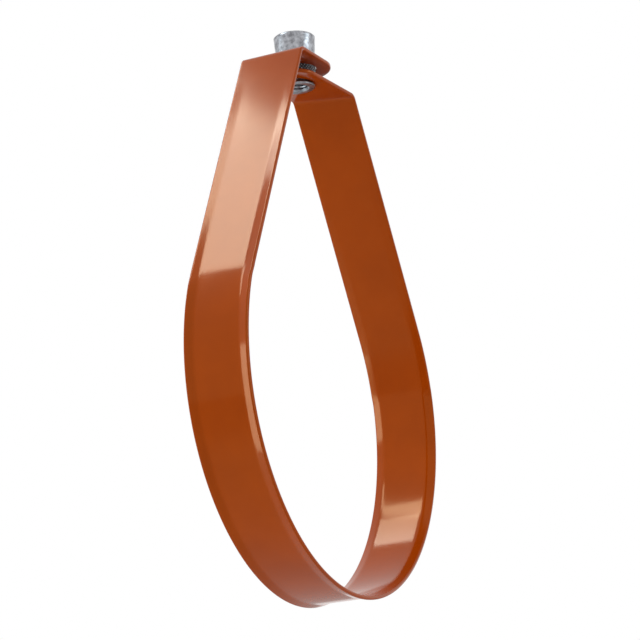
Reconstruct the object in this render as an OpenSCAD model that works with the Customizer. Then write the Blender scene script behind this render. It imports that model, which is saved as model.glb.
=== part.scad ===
// Swivel ring hanger for a copper tube. One flared steel strip makes the ring,
// its two legs and the two tabs that lie one above the other, and a knurled
// insert nut passes through both tabs. The origin is the centre of the ring:
// +Y runs along the tube and +Z up the rod.

/* [Tube] */
// Outside diameter of the tube that lies in the ring
tube_d = 155.6; // [120:0.1:200]
// Space between the tube and the strip, all round
tube_gap = 1.4; // [0.2:0.1:2]

/* [Strip] */
// Thickness of the strip
strip_t = 1.6; // [1.2:0.1:2.2]
// Width of the strip
strip_w = 27; // [24:0.5:36]
// Width of each flared border, measured along the sheet
border_w = 4.8; // [3:0.1:7]
// Part of the border over which the sheet curves
roll_w = 1.8; // [1:0.1:2.5]
// Angle at which the borders stand out along the ring
ring_flare = 16; // [10:1:26]
// Angle of the borders where they start to fade
leg_flare = 10; // [4:1:16]
// Length over which the borders drop from the one angle to the other
step_len = 4; // [2:0.5:6]
// Angle above level up to which the ring is flared, below the upper tab
upper_start = 22; // [12:1:23]
// Angle above level up to which the ring is flared, below the lower tab
lower_start = 8; // [0:1:20]

/* [Legs and tabs] */
// Lean of each leg from upright
leg_lean = 27.3; // [26:0.1:31]
// Length of each leg that is quite flat, below its bend
flat_len = 10; // [6:0.5:20]
// Inside radius of the bends between the legs and the tabs
bend_r = 2.2; // [1.5:0.1:3]
// Distance from the rod's axis to the bend below the upper tab
upper_shoulder = 18.6; // [15:0.1:21]
// Space between the two tabs at the rod's axis
tab_gap = 4; // [3.5:0.1:7]
// Slant of the lower bend across the strip
lower_slant = 7; // [0:0.5:9]
// Rise of the lower tab towards its end
lower_rise = 1; // [0:0.5:4]
// Distance from the rod's axis to the end of the upper tab
upper_reach = 14.5; // [13:0.5:18]
// Distance from the rod's axis to the end of the lower tab
lower_reach = 14; // [12:0.5:18]
// Radius of the corners at the end of the lower tab
corner_r = 8; // [3:0.5:11]

/* [Swivel nut] */
// Radius of the bore, to the crests of the thread
thread_r = 3.97; // [3:0.01:4.6]
// Radius over the knurl
knurl_r = 7.75; // [7:0.05:8]
// Radius of the neck that turns in the lower tab
neck_r = 6.3; // [5.8:0.05:6.5]
// Radius of the lip below the lower tab
lip_r = 7.2; // [7:0.05:8]
// Thickness of the lip
lip_t = 1; // [0.8:0.1:2]
// Radius of the rim at the top
rim_r = 8.35; // [8.2:0.05:9.5]
// Height of the rim above the upper tab
rim_rise = 12.5; // [6:0.5:14]
// Height of the knurl above the upper tab
knurl_rise = 1.2; // [0.5:0.1:3]
// Depth of the chamfer round each mouth of the bore
mouth = 0.8; // [0.3:0.1:1.2]
// Clearance between the nut and each tab
swivel_gap = 0.3; // [0.2:0.05:0.4]

/* [Hidden] */
$fn = 96;
// Short stretches that the curve of a border is drawn with
ROLL_STEPS = 4;
// Stations along the ring's unflared end and along the leg
ARC_STEPS = 5;
LEG_STEPS = 5;
// Flat pieces that each bend is drawn with
BEND_STEPS = 8;
// A border is never quite flat, so that its section keeps every point
LEAST_FLARE = 0.01;
// Each stretch of the strip reaches this far into the next
LAP = 0.8;
// Within the laps a leg's skin lies this deep inside its neighbours
SKIN = 0.02;
inner_r = tube_d / 2 + tube_gap;
flat_half = strip_w / 2 - border_w;
upper_turn = 90 - leg_lean;
lower_turn = upper_turn - lower_rise;
upper_z = bend_centre_z(upper_shoulder) + bend_r + strip_t;
lower_z = upper_z - strip_t - tab_gap;
lower_shoulder = shoulder_for(lower_z, lower_slant, lower_turn);
lower_tilt = acos(tab_normal(lower_slant, lower_turn)[2]);
hub_z = lower_z + knurl_r * tan(lower_tilt) + swivel_gap;
lip_top = lower_z - strip_t / cos(lower_tilt) - lip_r * tan(lower_tilt) - swivel_gap;
rim_z = upper_z + rim_rise;
upper_hole_r = knurl_r + swivel_gap;
lower_hole_r = neck_r + swivel_gap;

// Radius of the sheet's middle layer where a border is bent to angle a
function roll_r(a) = roll_w * 180 / (PI * max(a, LEAST_FLARE));

// Point of a border's middle layer at step i, offset outward by h
function roll_point(a, i, h) =
    let (turn = max(a, LEAST_FLARE) * i / ROLL_STEPS)
    [flat_half + (roll_r(a) - h) * sin(turn), h + (roll_r(a) - h) * (1 - cos(turn)) + strip_t / 2];

// One face of the strip's section, from the middle to the tip, drawn skin deep
function half_face(a, h, skin) =
    concat(
        [for (i = [0:ROLL_STEPS]) roll_point(a, i, h)],
        [roll_point(a, ROLL_STEPS, h) + (border_w - roll_w - skin) * [cos(a), sin(a)]]
    );

// Closed section of the strip: [across, outward from the inner face]
function strip_section(a, skin = 0) =
    let (inner = half_face(a, skin - strip_t / 2, skin), outer = half_face(a, strip_t / 2 - skin, skin),
        last = ROLL_STEPS + 1)
    concat(
        [for (i = [last:-1:0]) [-inner[i][0], inner[i][1]]],
        inner,
        [for (i = [last:-1:0]) outer[i]],
        [for (i = [0:last]) [-outer[i][0], outer[i][1]]]
    );

// Directions in the right leg's plane: outward from it, and up along it
function outward() = [cos(leg_lean), 0, sin(leg_lean)];
function upward() = [-sin(leg_lean), 0, cos(leg_lean)];

// Directions at a bend: along its line, and square to the line up the leg
function bend_line(slant) = [0, cos(slant), 0] + sin(slant) * upward();
function bend_square(slant) = cos(slant) * upward() - [0, sin(slant), 0];

// Outward direction of a tab whose bend has that slant and turn
function tab_normal(slant, turn) = cos(turn) * outward() + sin(turn) * bend_square(slant);

// Distance along the leg from its start to a bend whose centre is at x
function leg_length(x) = ((inner_r - bend_r) * cos(leg_lean) - x) / sin(leg_lean);
function bend_centre_z(x) = (inner_r - bend_r) * sin(leg_lean) + leg_length(x) * cos(leg_lean);

// Height of a tab's top face at the rod's axis, for a bend whose centre is at x
function tab_height(x, slant, turn) =
    let (up = tab_normal(slant, turn))
    bend_centre_z(x) + (up[0] * x + bend_r + strip_t) / up[2];

// Place of the bend's centre that brings the tab's top face to height z; the height falls evenly with x
function shoulder_for(z, slant, turn) =
    let (base = tab_height(0, slant, turn), slope = tab_height(1, slant, turn) - base)
    (z - base) / slope;

// Point of the right side of the strip between the ring and the bend.
// along is the distance up from the start of the leg, below 0 on the ring
function strip_point(across, out, along) =
    let (a = leg_lean + min(along, 0) * 180 / (PI * inner_r))
    (inner_r + out) * [cos(a), 0, sin(a)] + [0, across, 0] + max(along, 0) * upward();

// Point of the strip past the line of a bend, at distance past square to that line
function bend_point(across, out, past, x, slant, turn) =
    let (mid_r = bend_r + strip_t / 2, angle = min(past * 180 / (PI * mid_r), turn),
        beyond = past - angle * PI * mid_r / 180,
        lift = cos(angle) * outward() + sin(angle) * bend_square(slant),
        ahead = cos(angle) * bend_square(slant) - sin(angle) * outward())
    strip_point(0, -bend_r, leg_length(x)) + (bend_r + out) * lift + beyond * ahead
        + (across / cos(slant) + past * tan(slant)) * bend_line(slant);

// Length of a bend, measured along the sheet's middle layer
function bend_length(turn) = turn * PI * (bend_r + strip_t / 2) / 180;

// Two triangles that fill the four-sided face a, b, c, d
function two_triangles(a, b, c, d) = [[a, b, c], [a, c, d]];

// Solid through a row of strip sections; each end is filled from face to face
module loft(sections) {
    n = len(sections[0]);
    last = (len(sections) - 1) * n;
    points = [for (s = sections) each s];
    sides = [for (low = [0:n:last - n], j = [0:n - 1]) let (k = (j + 1) % n)
        each two_triangles(low + j, low + k, low + n + k, low + n + j)];
    first_end = [for (j = [0:n / 2 - 2]) each two_triangles(n - 1 - j, n - 2 - j, j + 1, j)];
    last_end = [for (j = [0:n / 2 - 2])
        each two_triangles(last + j, last + j + 1, last + n - 2 - j, last + n - 1 - j)];
    polyhedron(points = points, faces = concat(first_end, sides, last_end));
}

// Strip from the end of the flared ring up to the tab: the borders drop, then
// fade out along the leg, and the flat strip bends over
module leg_and_bend(start, x, slant, turn) {
    foot = (start - leg_lean) * PI * inner_r / 180;
    drop_end = foot + step_len;
    flat_start = leg_length(x) - flat_len;
    along = concat(
        [for (i = [0:ARC_STEPS]) drop_end * (1 - i / ARC_STEPS)],
        [for (i = [1:LEG_STEPS]) flat_start * i / LEG_STEPS]
    );
    fading = [for (s = along) [s, leg_flare * (flat_start - s) / (flat_start - drop_end)]];
    stations = concat([[foot - LAP, ring_flare], [foot, ring_flare]], fading);
    past = concat([for (i = [0:BEND_STEPS]) bend_length(turn) * i / BEND_STEPS], [bend_length(turn) + 2 * LAP]);
    loft(concat(
        [for (s = stations) [for (p = strip_section(s[1], SKIN)) strip_point(p[0], p[1], s[0])]],
        [for (q = past) [for (p = strip_section(0, SKIN)) bend_point(p[0], p[1], q, x, slant, turn)]]
    ));
}

// Tab past a bend, drawn flat in the sheet's own plane and laid past the bend.
// Its end has rounded corners, and the nut's hole is cut upright
module tab(x, slant, turn, reach, round_r, hole_r) {
    half = strip_w / 2;
    root = bend_length(turn) + LAP;
    tip = root - LAP + x / cos(slant) + reach;
    difference() {
        rotate([0, -leg_lean, 0])
            translate([inner_r - bend_r, 0, leg_length(x)])
                rotate([slant, 0, 0])
                    rotate([0, -turn, 0])
                        translate([bend_r, 0, -bend_length(turn)])
                            rotate([-slant, 0, 0])
                                rotate([0, 90, 0])
                                    linear_extrude(strip_t)
                                        mirror([1, 0])
                                            tab_outline(root, tip, slant, half, round_r);
        cylinder(r = hole_r, h = 2 * upper_z);
    }
}

// Flat outline of a tab: slanted start, straight sides and a rounded end
module tab_outline(root, tip, slant, half, round_r) {
    polygon([
        [root / cos(slant) - half * tan(slant), -half],
        [tip - round_r, -half],
        [tip - round_r, half],
        [root / cos(slant) + half * tan(slant), half]
    ]);
    translate([tip - round_r - LAP, round_r - half])
        square([round_r + LAP, 2 * (half - round_r)]);
    for (side = [-1, 1])
        translate([tip - round_r, side * (half - round_r)])
            circle(r = round_r);
}

// One side of the band above the flared ring, drawn on the right
module arm(start, x, slant, turn, reach, round_r, hole_r) {
    leg_and_bend(start, x, slant, turn);
    tab(x, slant, turn, reach, round_r, hole_r);
}

module ring_band() {
    color([0.63, 0.27, 0.1]) {
        rotate([90, 0, 0])
            rotate([0, 0, 180 - upper_start])
                rotate_extrude(angle = 180 + upper_start + lower_start)
                    polygon([for (p = strip_section(ring_flare)) [inner_r + p[1], p[0]]]);
        arm(lower_start, lower_shoulder, lower_slant, lower_turn, lower_reach, corner_r, lower_hole_r);
        mirror([1, 0, 0])
            arm(upper_start, upper_shoulder, 0, upper_turn, upper_reach, strip_w / 2 - SKIN, upper_hole_r);
    }
}

module swivel_nut() {
    edge = lip_t / 3;
    color([0.75, 0.76, 0.78])
        rotate_extrude()
            polygon([
                [thread_r, lip_top - lip_t + mouth],
                [thread_r + mouth, lip_top - lip_t],
                [lip_r - edge, lip_top - lip_t],
                [lip_r, lip_top - lip_t + edge],
                [lip_r, lip_top],
                [neck_r, lip_top],
                [neck_r, hub_z],
                [knurl_r - edge, hub_z],
                [knurl_r, hub_z + edge],
                [knurl_r, upper_z + knurl_rise],
                [knurl_r - edge, upper_z + knurl_rise + edge],
                [knurl_r, rim_z - 3 * edge],
                [rim_r, rim_z - edge],
                [rim_r - edge, rim_z],
                [thread_r + mouth, rim_z],
                [thread_r, rim_z - mouth]
            ]);
}

ring_band();
swivel_nut();
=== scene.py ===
"""Looks of the swivel ring hanger: the coated band and the plated insert nut, with their finishes and the studio.

Lengths are in millimetres up to the point where a mesh is made, and metres from there on.
"""

import bmesh
import bpy
import numpy as np
from mathutils import Matrix


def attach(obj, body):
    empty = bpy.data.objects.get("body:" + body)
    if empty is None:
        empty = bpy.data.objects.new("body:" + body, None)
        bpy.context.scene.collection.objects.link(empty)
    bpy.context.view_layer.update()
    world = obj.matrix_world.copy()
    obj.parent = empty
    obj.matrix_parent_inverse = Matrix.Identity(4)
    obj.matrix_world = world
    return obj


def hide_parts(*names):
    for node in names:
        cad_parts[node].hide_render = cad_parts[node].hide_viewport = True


MM = 0.001

# Strip and ring
INNER_R = 79.2
STRIP_T = 1.6
STRIP_W = 27.0
BORDER_W = 4.8
ROLL_W = 1.8
EDGE_R = 0.5
RING_FLARE = 16.0
LEG_FLARE = 10.0
STEP_LEN = 4.0
UPPER_START = 22.0
LOWER_START = 8.0

# Legs and tabs
LEG_LEAN = 27.3
FLAT_LEN = 10.0
BEND_R = 2.2
UPPER_SHOULDER = 18.6
TAB_GAP = 4.0
LOWER_SLANT = 7.0
LOWER_RISE = 1.0
UPPER_REACH = 14.5
LOWER_REACH = 14.0
CORNER_R = 8.0
END_STRAIGHT = 0.02
HOLE_EDGE_R = 0.25

# Insert nut
THREAD_R = 3.97
THREAD_PITCH = 25.4 / 16
THREAD_DEPTH = 0.55
KNURL_R = 7.75
KNURL_TEETH = 34
KNURL_DEPTH = 0.5
KNURL_RISE = 1.2
NECK_R = 6.3
LIP_R = 7.2
LIP_T = 1.0
RIM_R = 8.35
RIM_RISE = 12.5
MOUTH = 0.8
SWIVEL_GAP = 0.3

# Fine steps of the nut: chamfers, the rim's taper and foot, the groove under it, and where knurl and thread fade in
RIM_CHAMFER = 0.5
RIM_TAPER = 0.65
RIM_FOOT = 1.0
UNDERCUT = 0.7
UNDERCUT_RISE = 0.55
KNURL_INSET = 0.5
CHAMFER = 0.3
HUB_CHAMFER = 0.4
NECK_FILLET = 0.15
KNURL_FADE = 0.5
KNURL_SHARPNESS = 1.6
KNURL_ZONE = 0.45
THREAD_FADE = 0.8

# Stretches of the meshes
FLAT_STEPS = 7
ROLL_STEPS = 7
BORDER_STEPS = 4
BORDER_MARGIN = 0.2
RING_STEPS = 110
DROP_STEPS = 9
LEG_STEPS = 60
BEND_STEPS = 13
TOOTH_STEPS = 10
MERGE = 0.004

HALF_T = STRIP_T / 2
HALF_W = STRIP_W / 2
FLAT_HALF = HALF_W - BORDER_W
LEAST_FLARE = 0.01
LEAN = np.radians(LEG_LEAN)
OUTWARD = np.array([np.cos(LEAN), 0, np.sin(LEAN)])
UPWARD = np.array([-np.sin(LEAN), 0, np.cos(LEAN)])
ALONG_TUBE = np.array([0.0, 1, 0])


def arm(start, shoulder, slant, turn, reach, round_r, hole_r):
    """Sizes of one side of the band, with the directions at its bend and of its tab worked out."""
    slant, turn = np.radians(slant), np.radians(turn)
    line = np.cos(slant) * ALONG_TUBE + np.sin(slant) * UPWARD
    square = np.cos(slant) * UPWARD - np.sin(slant) * ALONG_TUBE
    length = ((INNER_R - BEND_R) * np.cos(LEAN) - shoulder) / np.sin(LEAN)
    bend = turn * (BEND_R + HALF_T)
    return dict(
        foot=np.radians(start - LEG_LEAN) * INNER_R, slant=slant, turn=turn, line=line, square=square,
        length=length, bend=bend, centre=(INNER_R - BEND_R) * OUTWARD + length * UPWARD,
        tip=bend + shoulder / np.cos(slant) + reach, round_r=round_r, hole_r=hole_r,
        normal=np.cos(turn) * OUTWARD + np.sin(turn) * square)


def tab_height(side, shoulder):
    """Height of a tab's top face over the ring's centre, where its bend's centre is at x = shoulder."""
    up = side["normal"]
    return side["centre"][2] + (up[0] * shoulder + BEND_R + STRIP_T) / up[2]


UPPER = arm(UPPER_START, UPPER_SHOULDER, 0, 90 - LEG_LEAN, UPPER_REACH, HALF_W - END_STRAIGHT,
            KNURL_R + SWIVEL_GAP)
UPPER_Z = UPPER["centre"][2] + BEND_R + STRIP_T
LOWER_Z = UPPER_Z - STRIP_T - TAB_GAP


def lower_arm(shoulder):
    """The lower tab's side for a bend whose centre is at x = shoulder."""
    return arm(LOWER_START, shoulder, LOWER_SLANT, 90 - LEG_LEAN - LOWER_RISE, LOWER_REACH, CORNER_R,
               NECK_R + SWIVEL_GAP)


LOW_AT_0 = tab_height(lower_arm(0), 0)
LOWER_SHOULDER = (LOWER_Z - LOW_AT_0) / (tab_height(lower_arm(1), 1) - LOW_AT_0)
LOWER = lower_arm(LOWER_SHOULDER)
LOWER_TILT = np.arccos(LOWER["normal"][2])
HUB_Z = LOWER_Z + KNURL_R * np.tan(LOWER_TILT) + SWIVEL_GAP
LIP_TOP = LOWER_Z - STRIP_T / np.cos(LOWER_TILT) - LIP_R * np.tan(LOWER_TILT) - SWIVEL_GAP
RIM_Z = UPPER_Z + RIM_RISE


def strip_at(across, height, along, side):
    """Points of the strip's right side below the bend, from (across, height above the middle layer, along).

    The section's middle layer is flat to FLAT_HALF, an arc over ROLL_W that turns by the flare, then straight.
    Along is 0 where the leg leaves the ring: below 0 it runs round the ring, above 0 straight up the leg.
    The flare is RING_FLARE to the foot, drops to LEG_FLARE over STEP_LEN and fades out up to FLAT_LEN below the bend.
    """
    fade_end = side["length"] - FLAT_LEN
    flare = np.radians(np.interp(along, [side["foot"], side["foot"] + STEP_LEN, fade_end],
                                 [RING_FLARE, LEG_FLARE, LEAST_FLARE]))
    over = np.abs(across) - FLAT_HALF
    turned = np.clip(over / ROLL_W, 0, 1) * flare
    straight = np.clip(over - ROLL_W, 0, None)
    roll_r = ROLL_W / flare
    reach = np.clip(np.abs(across), None, FLAT_HALF) + (roll_r - height) * np.sin(turned) + straight * np.cos(flare)
    out = height + (roll_r - height) * (1 - np.cos(turned)) + straight * np.sin(flare) + HALF_T
    angle = LEAN + np.minimum(along, 0) / INNER_R
    ray = np.stack([np.cos(angle), 0 * angle, np.sin(angle)], -1)
    return ((INNER_R + out)[..., None] * ray + (np.sign(across) * reach)[..., None] * ALONG_TUBE
            + np.maximum(along, 0)[..., None] * UPWARD)


def bend_at(across, height, past, side):
    """Points of the flat strip past the line of a bend, at distance past square to that line.

    The strip turns about the bend's centre over the bend's length, then runs straight. A slanted bend shears the
    strip's own directions: across counts 1/cos of the slant along the line, and past counts its tangent.
    """
    angle = np.clip(past / (BEND_R + HALF_T), 0, side["turn"])
    beyond = past - angle * (BEND_R + HALF_T)
    lift = np.cos(angle)[..., None] * OUTWARD + np.sin(angle)[..., None] * side["square"]
    ahead = np.cos(angle)[..., None] * side["square"] - np.sin(angle)[..., None] * OUTWARD
    along_line = across / np.cos(side["slant"]) + past * np.tan(side["slant"])
    return (side["centre"] + (BEND_R + HALF_T + height)[..., None] * lift + beyond[..., None] * ahead
            + along_line[..., None] * side["line"])


def rounded_edge(radius, steps=5):
    """Quarter, side and quarter of an edge: (distance in from the edge, height) from the top face to the bottom."""
    turn = np.linspace(0, np.pi / 2, steps)
    inset = radius * (1 - np.sin(turn))
    height = HALF_T - radius * (1 - np.cos(turn))
    return np.concatenate([inset, inset[::-1]]), np.concatenate([height, -height[::-1]])


EDGE_IN, EDGE_H = rounded_edge(EDGE_R)


def face_row():
    """Places across one face, from its one edge to the other, closer together at the edges and the rolls."""
    roll_end = FLAT_HALF + ROLL_W
    half = np.concatenate([np.linspace(0, FLAT_HALF, FLAT_STEPS)[:-1],
                           np.linspace(FLAT_HALF, roll_end, ROLL_STEPS)[:-1],
                           np.linspace(roll_end, HALF_W - EDGE_R - BORDER_MARGIN, BORDER_STEPS),
                           [HALF_W - EDGE_R]])
    return np.concatenate([-half[:0:-1], half])


def section_loop():
    """The strip's closed section: across and height, over the top face, an edge, the bottom face and an edge."""
    row = face_row()
    rim = slice(1, -1)
    across = np.concatenate([row, HALF_W - EDGE_IN[rim], row[::-1], EDGE_IN[rim][::-1] - HALF_W])
    height = np.concatenate([0 * row + HALF_T, EDGE_H[rim], 0 * row - HALF_T, EDGE_H[rim][::-1]])
    return across, height


def tab_outline(side, inset, sides=40, curve=17):
    """Outline of a tab in its own plane (along, across), inset from the edge, from one end of the bend to the other.

    Straight side, quarter corner, straight end, quarter corner, straight side.
    """
    half, tip, radius = HALF_W - inset, side["tip"] - inset, side["round_r"] - inset
    corner_x, corner_y = side["tip"] - side["round_r"], HALF_W - side["round_r"]
    start = (side["bend"] + np.array([half, -half]) * np.sin(side["slant"])) / np.cos(side["slant"])
    turn = np.linspace(0, np.pi / 2, curve)
    run = np.linspace(0, 1, sides)[:-1]
    first = np.stack([start[0] + (corner_x - start[0]) * run, 0 * run + half], -1)
    corner = np.stack([corner_x + radius * np.sin(turn), corner_y + radius * np.cos(turn)], -1)
    end = np.stack([0 * run[1:] + tip, corner_y * (1 - 2 * run[1:])], -1)
    back = corner[::-1] * [1, -1]
    last = np.stack([corner_x + (start[1] - corner_x) * run, 0 * run - half], -1)
    return np.concatenate([first, corner, end, back, last[1:], [[start[1], -half]]])


def tab_plane(points, height, side):
    """Points of a tab from its own plane's (along, across) and the height above the middle layer."""
    along, across = points[..., 0], points[..., 1]
    past = along * np.cos(side["slant"]) - across * np.sin(side["slant"])
    return bend_at(across, height + 0 * across, past, side)


def upright_ring(side, radius, height, spread):
    """Where an upright circle of that radius round the rod cuts a tab at that height, in the tab's plane.

    The spot for each direction of spread comes from the plane's two directions seen from above.
    """
    origin = tab_plane(np.array([side["tip"], 0.0]), height, side)
    directions = np.stack([tab_plane(np.array([side["tip"] + 1, 0.0]), height, side) - origin,
                           tab_plane(np.array([side["tip"], 1.0]), height, side) - origin], -1)[:2]
    back = np.linalg.inv(directions)
    middle = back @ (-origin[:2]) + [side["tip"], 0]
    flat = spread - middle
    seen = flat @ directions.T
    seen = seen / np.linalg.norm(seen, axis=-1, keepdims=True)
    return middle + radius * seen @ back.T


def tab_grids(side, rings=9):
    """The tab as grids: both faces from the hole's edge to the outline, the outer edge and the hole's wall.

    A face is a fan of rays between the hole and the outline, its rings closer together at both ends.
    """
    row = face_row()
    grids, wall = [], []
    ease = 0.5 - 0.5 * np.cos(np.linspace(0, np.pi, rings))
    root = np.stack([(side["bend"] + row * np.sin(side["slant"])) / np.cos(side["slant"]), row], -1)
    edges = tab_outline(side, EDGE_R)
    border = np.concatenate([edges, root[1:-1]])
    for height in (HALF_T, -HALF_T):
        inner = upright_ring(side, side["hole_r"] + HOLE_EDGE_R, height, border)
        rays = inner[:, None] + (border - inner)[:, None] * ease[None, :, None]
        rays = np.concatenate([rays, rays[:1]])
        grids.append(tab_plane(rays, height, side))
    grids.append(np.stack([tab_plane(tab_outline(side, d), h, side) for d, h in zip(EDGE_IN, EDGE_H)], 1))
    for inset, height in zip(*rounded_edge(HOLE_EDGE_R, 4)):
        ring = upright_ring(side, side["hole_r"] + inset, height, border)
        wall.append(tab_plane(np.concatenate([ring, ring[:1]]), height, side))
    grids.append(np.stack(wall, 1))
    return grids


def side_grids(side):
    """One side of the band, drawn on the right: half the ring, the leg, the bend and the tab."""
    bottom = -(np.pi / 2 + LEAN) * INNER_R
    foot, leg = side["foot"], side["length"]
    along = np.concatenate([np.linspace(bottom, foot, RING_STEPS)[:-1],
                            np.linspace(foot, foot + STEP_LEN, DROP_STEPS)[:-1],
                            np.linspace(foot + STEP_LEN, leg - FLAT_LEN, LEG_STEPS)])
    past = np.linspace(0, side["bend"], BEND_STEPS)
    across, height = section_loop()
    straight = strip_at(across[None, :] + 0 * along[:, None], height[None, :] + 0 * along[:, None],
                        along[:, None] + 0 * across[None, :], side)
    bent = bend_at(across[None, :] + 0 * past[:, None], height[None, :] + 0 * past[:, None],
                   past[:, None] + 0 * across[None, :], side)
    strip = np.concatenate([straight, bent])
    strip = np.concatenate([strip, strip[:, :1]], axis=1)
    return [strip] + tab_grids(side)


def quads(grid_sizes):
    """Corner numbers of every cell of several grids whose points are laid one after another."""
    faces, first = [], 0
    for rows, columns in grid_sizes:
        corner = first + (np.arange(rows - 1)[:, None] * columns + np.arange(columns - 1)).ravel()
        faces.append(np.stack([corner, corner + 1, corner + columns + 1, corner + columns], -1))
        first += rows * columns
    return np.concatenate(faces)


def closed_piece(name, grids, material, grooves=None):
    """One closed mesh from grids of points in millimetres that meet at their borders.

    grooves, one number a point, is kept on the mesh for the painted shade in the finish.
    """
    points = np.concatenate([g.reshape(-1, 3) for g in grids]) * MM
    mesh = bpy.data.meshes.new(name)
    mesh.from_pydata(points, [], quads([g.shape[:2] for g in grids]).tolist())
    if grooves is not None:
        mesh.attributes.new("groove", "FLOAT", "POINT").data.foreach_set("value", grooves.ravel())
    cleaned = bmesh.new()
    cleaned.from_mesh(mesh)
    bmesh.ops.remove_doubles(cleaned, verts=cleaned.verts, dist=MERGE * MM)
    bmesh.ops.recalc_face_normals(cleaned, faces=cleaned.faces)
    cleaned.to_mesh(mesh)
    cleaned.free()
    mesh.shade_smooth()
    piece = bpy.data.objects.new(name, mesh)
    piece.data.materials.append(material)
    bpy.context.scene.collection.objects.link(piece)
    return piece


def saw(x):
    """Even zigzag of period 1 between 0 and 1, 0 at whole numbers."""
    return 1 - np.abs(2 * (x - np.floor(x)) - 1)


def nut_profile():
    """Radius and height down the outside, round the lip and back up the bore, as a closed run of straight parts.

    Each part is given as its two ends and its number of stretches.
    """
    knurl_top = UPPER_Z + KNURL_RISE
    bore_low, bore_high = LIP_TOP - LIP_T, RIM_Z
    neck_low = LIP_TOP + NECK_FILLET
    return [
        ((THREAD_R + MOUTH, bore_high), (RIM_R - RIM_CHAMFER, bore_high), 6),
        ((RIM_R - RIM_CHAMFER, bore_high), (RIM_R, bore_high - RIM_CHAMFER), 5),
        ((RIM_R, bore_high - RIM_CHAMFER), (RIM_R - RIM_TAPER, knurl_top + RIM_FOOT), 16),
        ((RIM_R - RIM_TAPER, knurl_top + RIM_FOOT), (KNURL_R - UNDERCUT, knurl_top + UNDERCUT_RISE), 5),
        ((KNURL_R - UNDERCUT, knurl_top + UNDERCUT_RISE), (KNURL_R - KNURL_INSET, knurl_top), 3),
        ((KNURL_R - KNURL_INSET, knurl_top), (KNURL_R, knurl_top - CHAMFER), 3),
        ((KNURL_R, knurl_top - CHAMFER), (KNURL_R, HUB_Z + CHAMFER), 40),
        ((KNURL_R, HUB_Z + CHAMFER), (KNURL_R - HUB_CHAMFER, HUB_Z), 3),
        ((KNURL_R - HUB_CHAMFER, HUB_Z), (NECK_R, HUB_Z), 4),
        ((NECK_R, HUB_Z), (NECK_R, neck_low), 10),
        ((NECK_R, neck_low), (LIP_R - CHAMFER, LIP_TOP), 4),
        ((LIP_R - CHAMFER, LIP_TOP), (LIP_R, LIP_TOP - CHAMFER), 4),
        ((LIP_R, LIP_TOP - CHAMFER), (LIP_R, bore_low + CHAMFER), 3),
        ((LIP_R, bore_low + CHAMFER), (LIP_R - CHAMFER, bore_low), 4),
        ((LIP_R - CHAMFER, bore_low), (THREAD_R + MOUTH, bore_low), 6),
        ((THREAD_R + MOUTH, bore_low), (THREAD_R, bore_low + MOUTH), 6),
        ((THREAD_R, bore_low + MOUTH), (THREAD_R, bore_high - MOUTH), 110),
        ((THREAD_R, bore_high - MOUTH), (THREAD_R + MOUTH, bore_high), 6),
    ]


def nut_grid():
    """The nut turned about the rod's axis, with its knurl and thread, and how deep in the knurl each point lies.

    The profile is carried round the axis. On the knurl the radius drops by a pyramid pattern: the lesser of two
    zigzags that climb both ways round. In the bore it grows by a zigzag that climbs one pitch a turn.
    """
    runs = [np.linspace(a, b, n, endpoint=False) for a, b, n in nut_profile()]
    profile = np.concatenate(runs + [runs[0][:1]])
    turns = KNURL_TEETH * TOOTH_STEPS
    turn = np.linspace(0, 2 * np.pi, turns + 1)[:, None]
    radius, height = profile[:, 0][None, :], profile[:, 1][None, :] + 0 * turn
    round_way = turn * KNURL_TEETH / (2 * np.pi)
    climb = height * KNURL_TEETH / (2 * np.pi * KNURL_R)
    knurl_top = UPPER_Z + KNURL_RISE
    from_end = np.minimum(height - HUB_Z, knurl_top - height)
    on_knurl = np.clip(from_end / KNURL_FADE, 0, 1) * (radius > KNURL_R - KNURL_ZONE)
    lesser = np.minimum(saw(round_way + climb), saw(round_way - climb))
    pattern = np.clip(1 - KNURL_SHARPNESS * lesser, 0, 1)
    in_bore = (radius < THREAD_R + 0.01) * np.clip(
        np.minimum(height - LIP_TOP + LIP_T - MOUTH, RIM_Z - MOUTH - height) / THREAD_FADE, 0, 1)
    thread = saw(height / THREAD_PITCH - turn / (2 * np.pi))
    radius = radius - KNURL_DEPTH * pattern * on_knurl + THREAD_DEPTH * thread * in_bore
    return np.stack([radius * np.cos(turn), radius * np.sin(turn), height], -1), pattern * on_knurl


def group(name, inputs, output):
    """An empty node group with named inputs (name, kind, default), its two ends and one output."""
    made = bpy.data.node_groups.new(name, "ShaderNodeTree")
    for label, kind, value in inputs:
        socket = made.interface.new_socket(name=label, in_out="INPUT", socket_type=kind)
        socket.default_value = value
    made.interface.new_socket(name=output[0], in_out="OUTPUT", socket_type=output[1])
    return made, made.nodes.new("NodeGroupInput"), made.nodes.new("NodeGroupOutput")


def soft_noise(tree, place, scale, detail=2.0):
    """Noise on the object's own coordinates; scale is a socket in lumps per metre."""
    noise = tree.nodes.new("ShaderNodeTexNoise")
    noise.inputs["Detail"].default_value = detail
    tree.links.new(place, noise.inputs["Vector"])
    tree.links.new(scale, noise.inputs["Scale"])
    return noise.outputs["Fac"]


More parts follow.
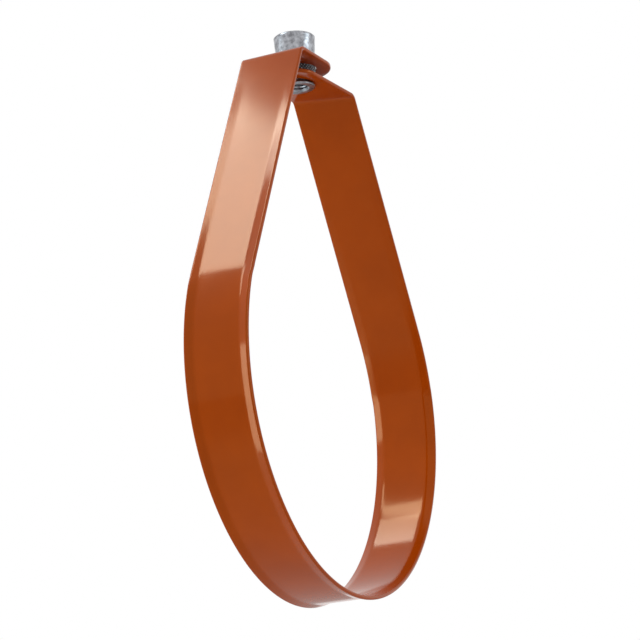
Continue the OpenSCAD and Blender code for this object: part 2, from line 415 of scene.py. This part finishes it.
def clouded_colour():
    """Group: a colour that drifts towards a second one in soft clouds, by Amount."""
    made, given, out = group("Clouded colour", [
        ("Colour", "NodeSocketColor", (0.5, 0.5, 0.5, 1)), ("Cloud", "NodeSocketColor", (0.4, 0.4, 0.4, 1)),
        ("Scale", "NodeSocketFloat", 60.0), ("Amount", "NodeSocketFloat", 0.5)], ("Colour", "NodeSocketColor"))
    place = made.nodes.new("ShaderNodeTexCoord").outputs["Object"]
    cloud = soft_noise(made, place, given.outputs["Scale"], 3.0)
    spread = made.nodes.new("ShaderNodeMapRange")
    spread.inputs["From Min"].default_value = 0.35
    spread.inputs["From Max"].default_value = 0.65
    made.links.new(cloud, spread.inputs["Value"])
    share = made.nodes.new("ShaderNodeMath")
    share.operation = "MULTIPLY"
    made.links.new(spread.outputs["Result"], share.inputs[0])
    made.links.new(given.outputs["Amount"], share.inputs[1])
    blend = made.nodes.new("ShaderNodeMix")
    blend.data_type = "RGBA"
    made.links.new(share.outputs["Value"], blend.inputs["Factor"])
    made.links.new(given.outputs["Colour"], blend.inputs["A"])
    made.links.new(given.outputs["Cloud"], blend.inputs["B"])
    made.links.new(blend.outputs["Result"], out.inputs["Colour"])
    return made


def fine_relief():
    """Group: the small unevenness of a coat or plate, as a normal."""
    made, given, out = group("Fine relief", [
        ("Scale", "NodeSocketFloat", 400.0), ("Depth", "NodeSocketFloat", 0.00001),
        ("Strength", "NodeSocketFloat", 1.0)], ("Normal", "NodeSocketVector"))
    place = made.nodes.new("ShaderNodeTexCoord").outputs["Object"]
    height = soft_noise(made, place, given.outputs["Scale"])
    bump = made.nodes.new("ShaderNodeBump")
    made.links.new(height, bump.inputs["Height"])
    made.links.new(given.outputs["Depth"], bump.inputs["Distance"])
    made.links.new(given.outputs["Strength"], bump.inputs["Strength"])
    made.links.new(bump.outputs["Normal"], out.inputs["Normal"])
    return made


def shaded_groove_group():
    """Group: a colour that turns to a second one by Depth, as painted shade in the grooves."""
    made, given, out = group("Painted groove shade", [
        ("Colour", "NodeSocketColor", (0.5, 0.5, 0.5, 1)), ("Dark", "NodeSocketColor", (0.05, 0.05, 0.05, 1)),
        ("Depth", "NodeSocketFloat", 0.0)], ("Colour", "NodeSocketColor"))
    blend = made.nodes.new("ShaderNodeMix")
    blend.data_type = "RGBA"
    made.links.new(given.outputs["Depth"], blend.inputs["Factor"])
    made.links.new(given.outputs["Colour"], blend.inputs["A"])
    made.links.new(given.outputs["Dark"], blend.inputs["B"])
    made.links.new(blend.outputs["Result"], out.inputs["Colour"])
    return made


def paint_shade_in_grooves(material, dark):
    """Turns a finish to the dark colour in the grooves kept on the mesh, as painted shade."""
    tree = material.node_tree
    shader = tree.nodes["Principled BSDF"]
    plain = shader.inputs["Base Color"].links[0].from_socket
    depth = tree.nodes.new("ShaderNodeAttribute")
    depth.attribute_name = "groove"
    node = tree.nodes.new("ShaderNodeGroup")
    node.node_tree = shaded_groove_group()
    node.inputs["Dark"].default_value = dark
    tree.links.new(plain, node.inputs["Colour"])
    tree.links.new(depth.outputs["Fac"], node.inputs["Depth"])
    tree.links.new(node.outputs["Colour"], shader.inputs["Base Color"])


def put(material, made, settings):
    """A use of a group in a material, with its inputs set."""
    node = material.node_tree.nodes.new("ShaderNodeGroup")
    node.node_tree = made
    for label, value in settings.items():
        node.inputs[label].default_value = value
    return node.outputs[0]


def finish_material(name, settings, colour, relief):
    """A material with a clouded colour and fine relief; settings go on the shader's own sockets."""
    material = bpy.data.materials.new(name)
    material.use_nodes = True
    shader = material.node_tree.nodes["Principled BSDF"]
    for label, value in settings.items():
        shader.inputs[label].default_value = value
    links = material.node_tree.links
    links.new(put(material, CLOUDED, colour), shader.inputs["Base Color"])
    links.new(put(material, RELIEF, relief), shader.inputs["Normal"])
    return material


def plain_material(name, colour, roughness):
    """A plain matt material."""
    material = bpy.data.materials.new(name)
    material.use_nodes = True
    shader = material.node_tree.nodes["Principled BSDF"]
    shader.inputs["Base Color"].default_value = colour
    shader.inputs["Roughness"].default_value = roughness
    return material


# Studio, in metres
DAYLIGHT = (0.82, 0.96, 1.0)
FLOOR_SIZE = 8
FLOOR_LEVEL = -0.5
FILL, WHITE = 0.58, 1.0
LAMP_TURN = -32.1
CAMERA_PLACE = (-0.897707, -0.440568, -0.226731)
CAMERA_YAW, CAMERA_PITCH, CAMERA_ROLL, CAMERA_LENS = 64.027, 14.395, -3.783, 147.947


def softbox(name, centre, size, watts, aim, turn=0.0):
    """A rectangular lamp at centre that faces aim, in metres, turned about its own axis by turn degrees.

    The first size runs square to the aim and to +Y: along X for a lamp that faces down, along Z for a level one.
    """
    lamp = bpy.data.lights.new(name, "AREA")
    lamp.shape = "RECTANGLE"
    lamp.size, lamp.size_y = size
    lamp.energy = watts
    lamp.color = DAYLIGHT
    held = bpy.data.objects.new(name, lamp)
    forward = np.array(aim, float) - np.array(centre, float)
    forward /= np.linalg.norm(forward)
    rightward = np.cross(forward, [0, 1.0, 0])
    rightward /= np.linalg.norm(rightward)
    upward = np.cross(rightward, forward)
    basis = Matrix(np.stack([rightward, upward, -forward], 1).tolist()).to_4x4()
    held.matrix_world = Matrix.Translation(centre) @ basis @ Matrix.Rotation(np.radians(turn), 4, "Z")
    bpy.context.scene.collection.objects.link(held)


def studio_world(fill, white):
    """World that lights the object softly at strength fill and shows as plain white directly and in reflections."""
    world = bpy.data.worlds.new("Studio")
    world.use_nodes = True
    tree = world.node_tree
    tree.nodes.clear()
    rays = tree.nodes.new("ShaderNodeLightPath")
    seen = rays.outputs["Is Camera Ray"]
    for kind in ("Is Glossy Ray", "Is Transmission Ray"):
        either = tree.nodes.new("ShaderNodeMath")
        either.operation = "MAXIMUM"
        tree.links.new(seen, either.inputs[0])
        tree.links.new(rays.outputs[kind], either.inputs[1])
        seen = either.outputs["Value"]
    lit, shown = tree.nodes.new("ShaderNodeBackground"), tree.nodes.new("ShaderNodeBackground")
    lit.inputs["Strength"].default_value = fill
    shown.inputs["Strength"].default_value = white
    mix, out = tree.nodes.new("ShaderNodeMixShader"), tree.nodes.new("ShaderNodeOutputWorld")
    for source, target in ((seen, mix.inputs["Fac"]), (lit.outputs["Background"], mix.inputs[1]),
                           (shown.outputs["Background"], mix.inputs[2]),
                           (mix.outputs["Shader"], out.inputs["Surface"])):
        tree.links.new(source, target)
    for background in (lit, shown):
        background.inputs["Color"].default_value = (1, 1, 1, 1)
    bpy.context.scene.world = world


def stand_camera(place, yaw, pitch, roll, lens):
    """Camera at place that looks yaw degrees round from +Y towards +X and pitch degrees above the horizon."""
    data = bpy.data.cameras.new("Camera")
    data.lens = lens
    data.sensor_width = 36
    data.clip_end = 50
    camera = bpy.data.objects.new("Camera", data)
    camera.matrix_world = (Matrix.Translation(place) @ Matrix.Rotation(np.radians(-yaw), 4, "Z")
                           @ Matrix.Rotation(np.radians(90 + pitch), 4, "X")
                           @ Matrix.Rotation(np.radians(roll), 4, "Z"))
    bpy.context.scene.collection.objects.link(camera)
    bpy.context.scene.camera = camera


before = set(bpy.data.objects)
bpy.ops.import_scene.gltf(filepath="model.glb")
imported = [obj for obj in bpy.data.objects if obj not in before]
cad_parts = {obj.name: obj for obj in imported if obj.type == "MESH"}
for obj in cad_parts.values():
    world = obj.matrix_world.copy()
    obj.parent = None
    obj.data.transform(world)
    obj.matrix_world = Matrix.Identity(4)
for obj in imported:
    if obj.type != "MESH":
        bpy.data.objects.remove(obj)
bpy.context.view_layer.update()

CLOUDED, RELIEF = clouded_colour(), fine_relief()
copper_coat = finish_material(
    "Copper-brown epoxy coat",
    {"Metallic": 0.0, "Roughness": 0.11, "IOR": 1.5, "Specular IOR Level": 0.4,
     "Specular Tint": (1.0, 0.55, 0.2, 1)},
    {"Colour": (0.385, 0.05, 0.001, 1), "Cloud": (0.33, 0.041, 0.001, 1), "Scale": 45.0, "Amount": 0.7},
    {"Scale": 180.0, "Depth": 0.00002, "Strength": 0.3})
zinc_plate = finish_material(
    "Mottled zinc plate",
    {"Metallic": 1.0, "Roughness": 0.3},
    {"Colour": (0.44, 0.45, 0.48, 1), "Cloud": (0.17, 0.17, 0.185, 1), "Scale": 600.0, "Amount": 0.9},
    {"Scale": 700.0, "Depth": 0.00006, "Strength": 0.6})
# Painted shade: the plate turns near black in the knurl's grooves, by their depth.
paint_shade_in_grooves(zinc_plate, (0.01, 0.01, 0.012, 1))

left = [grid * [-1, 1, 1] for grid in side_grids(UPPER)]
band = closed_piece("Band", side_grids(LOWER) + left, copper_coat)
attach(band, "band")
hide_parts("ring_band")

nut_points, nut_grooves = nut_grid()
nut = closed_piece("Insert_nut", [nut_points], zinc_plate, nut_grooves)
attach(nut, "nut")
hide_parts("swivel_nut")

bpy.ops.mesh.primitive_plane_add(size=FLOOR_SIZE, location=(0, 0, FLOOR_LEVEL))
floor = bpy.context.object
floor.name = "Floor"
floor.data.materials.append(plain_material("Pale floor", (0.86, 0.86, 0.86, 1), 0.7))

# The leg, ring and back lamps stand where three patches of the strip reflect: on the left leg, low inside the ring
# and along the ring's near border.
softbox("Leg softbox", (-0.278, 0.301, 0.70), (0.165, 0.175), 0.83, (-0.278, 0.301, 0), LAMP_TURN)
softbox("Low leg softbox", (-0.413, 0.549, 0.70), (0.325, 0.20), 1.3, (-0.413, 0.549, 0), LAMP_TURN)
softbox("Ring softbox", (-0.0575, 0.35, 0.701), (0.265, 0.10), 0.67, (-0.0575, 0.35, 0))
softbox("Side softbox", (0.15, -1.2, 0.35), (0.35, 0.9), 3.0, (0, 0, 0.1))
softbox("Back softbox", (-0.58, 0.88, -0.085), (0.79, 0.3), 4.25, (-0.08, 0, -0.085))
studio_world(FILL, WHITE)
stand_camera(CAMERA_PLACE, CAMERA_YAW, CAMERA_PITCH, CAMERA_ROLL, CAMERA_LENS)
bpy.context.scene.view_settings.view_transform = "Standard"
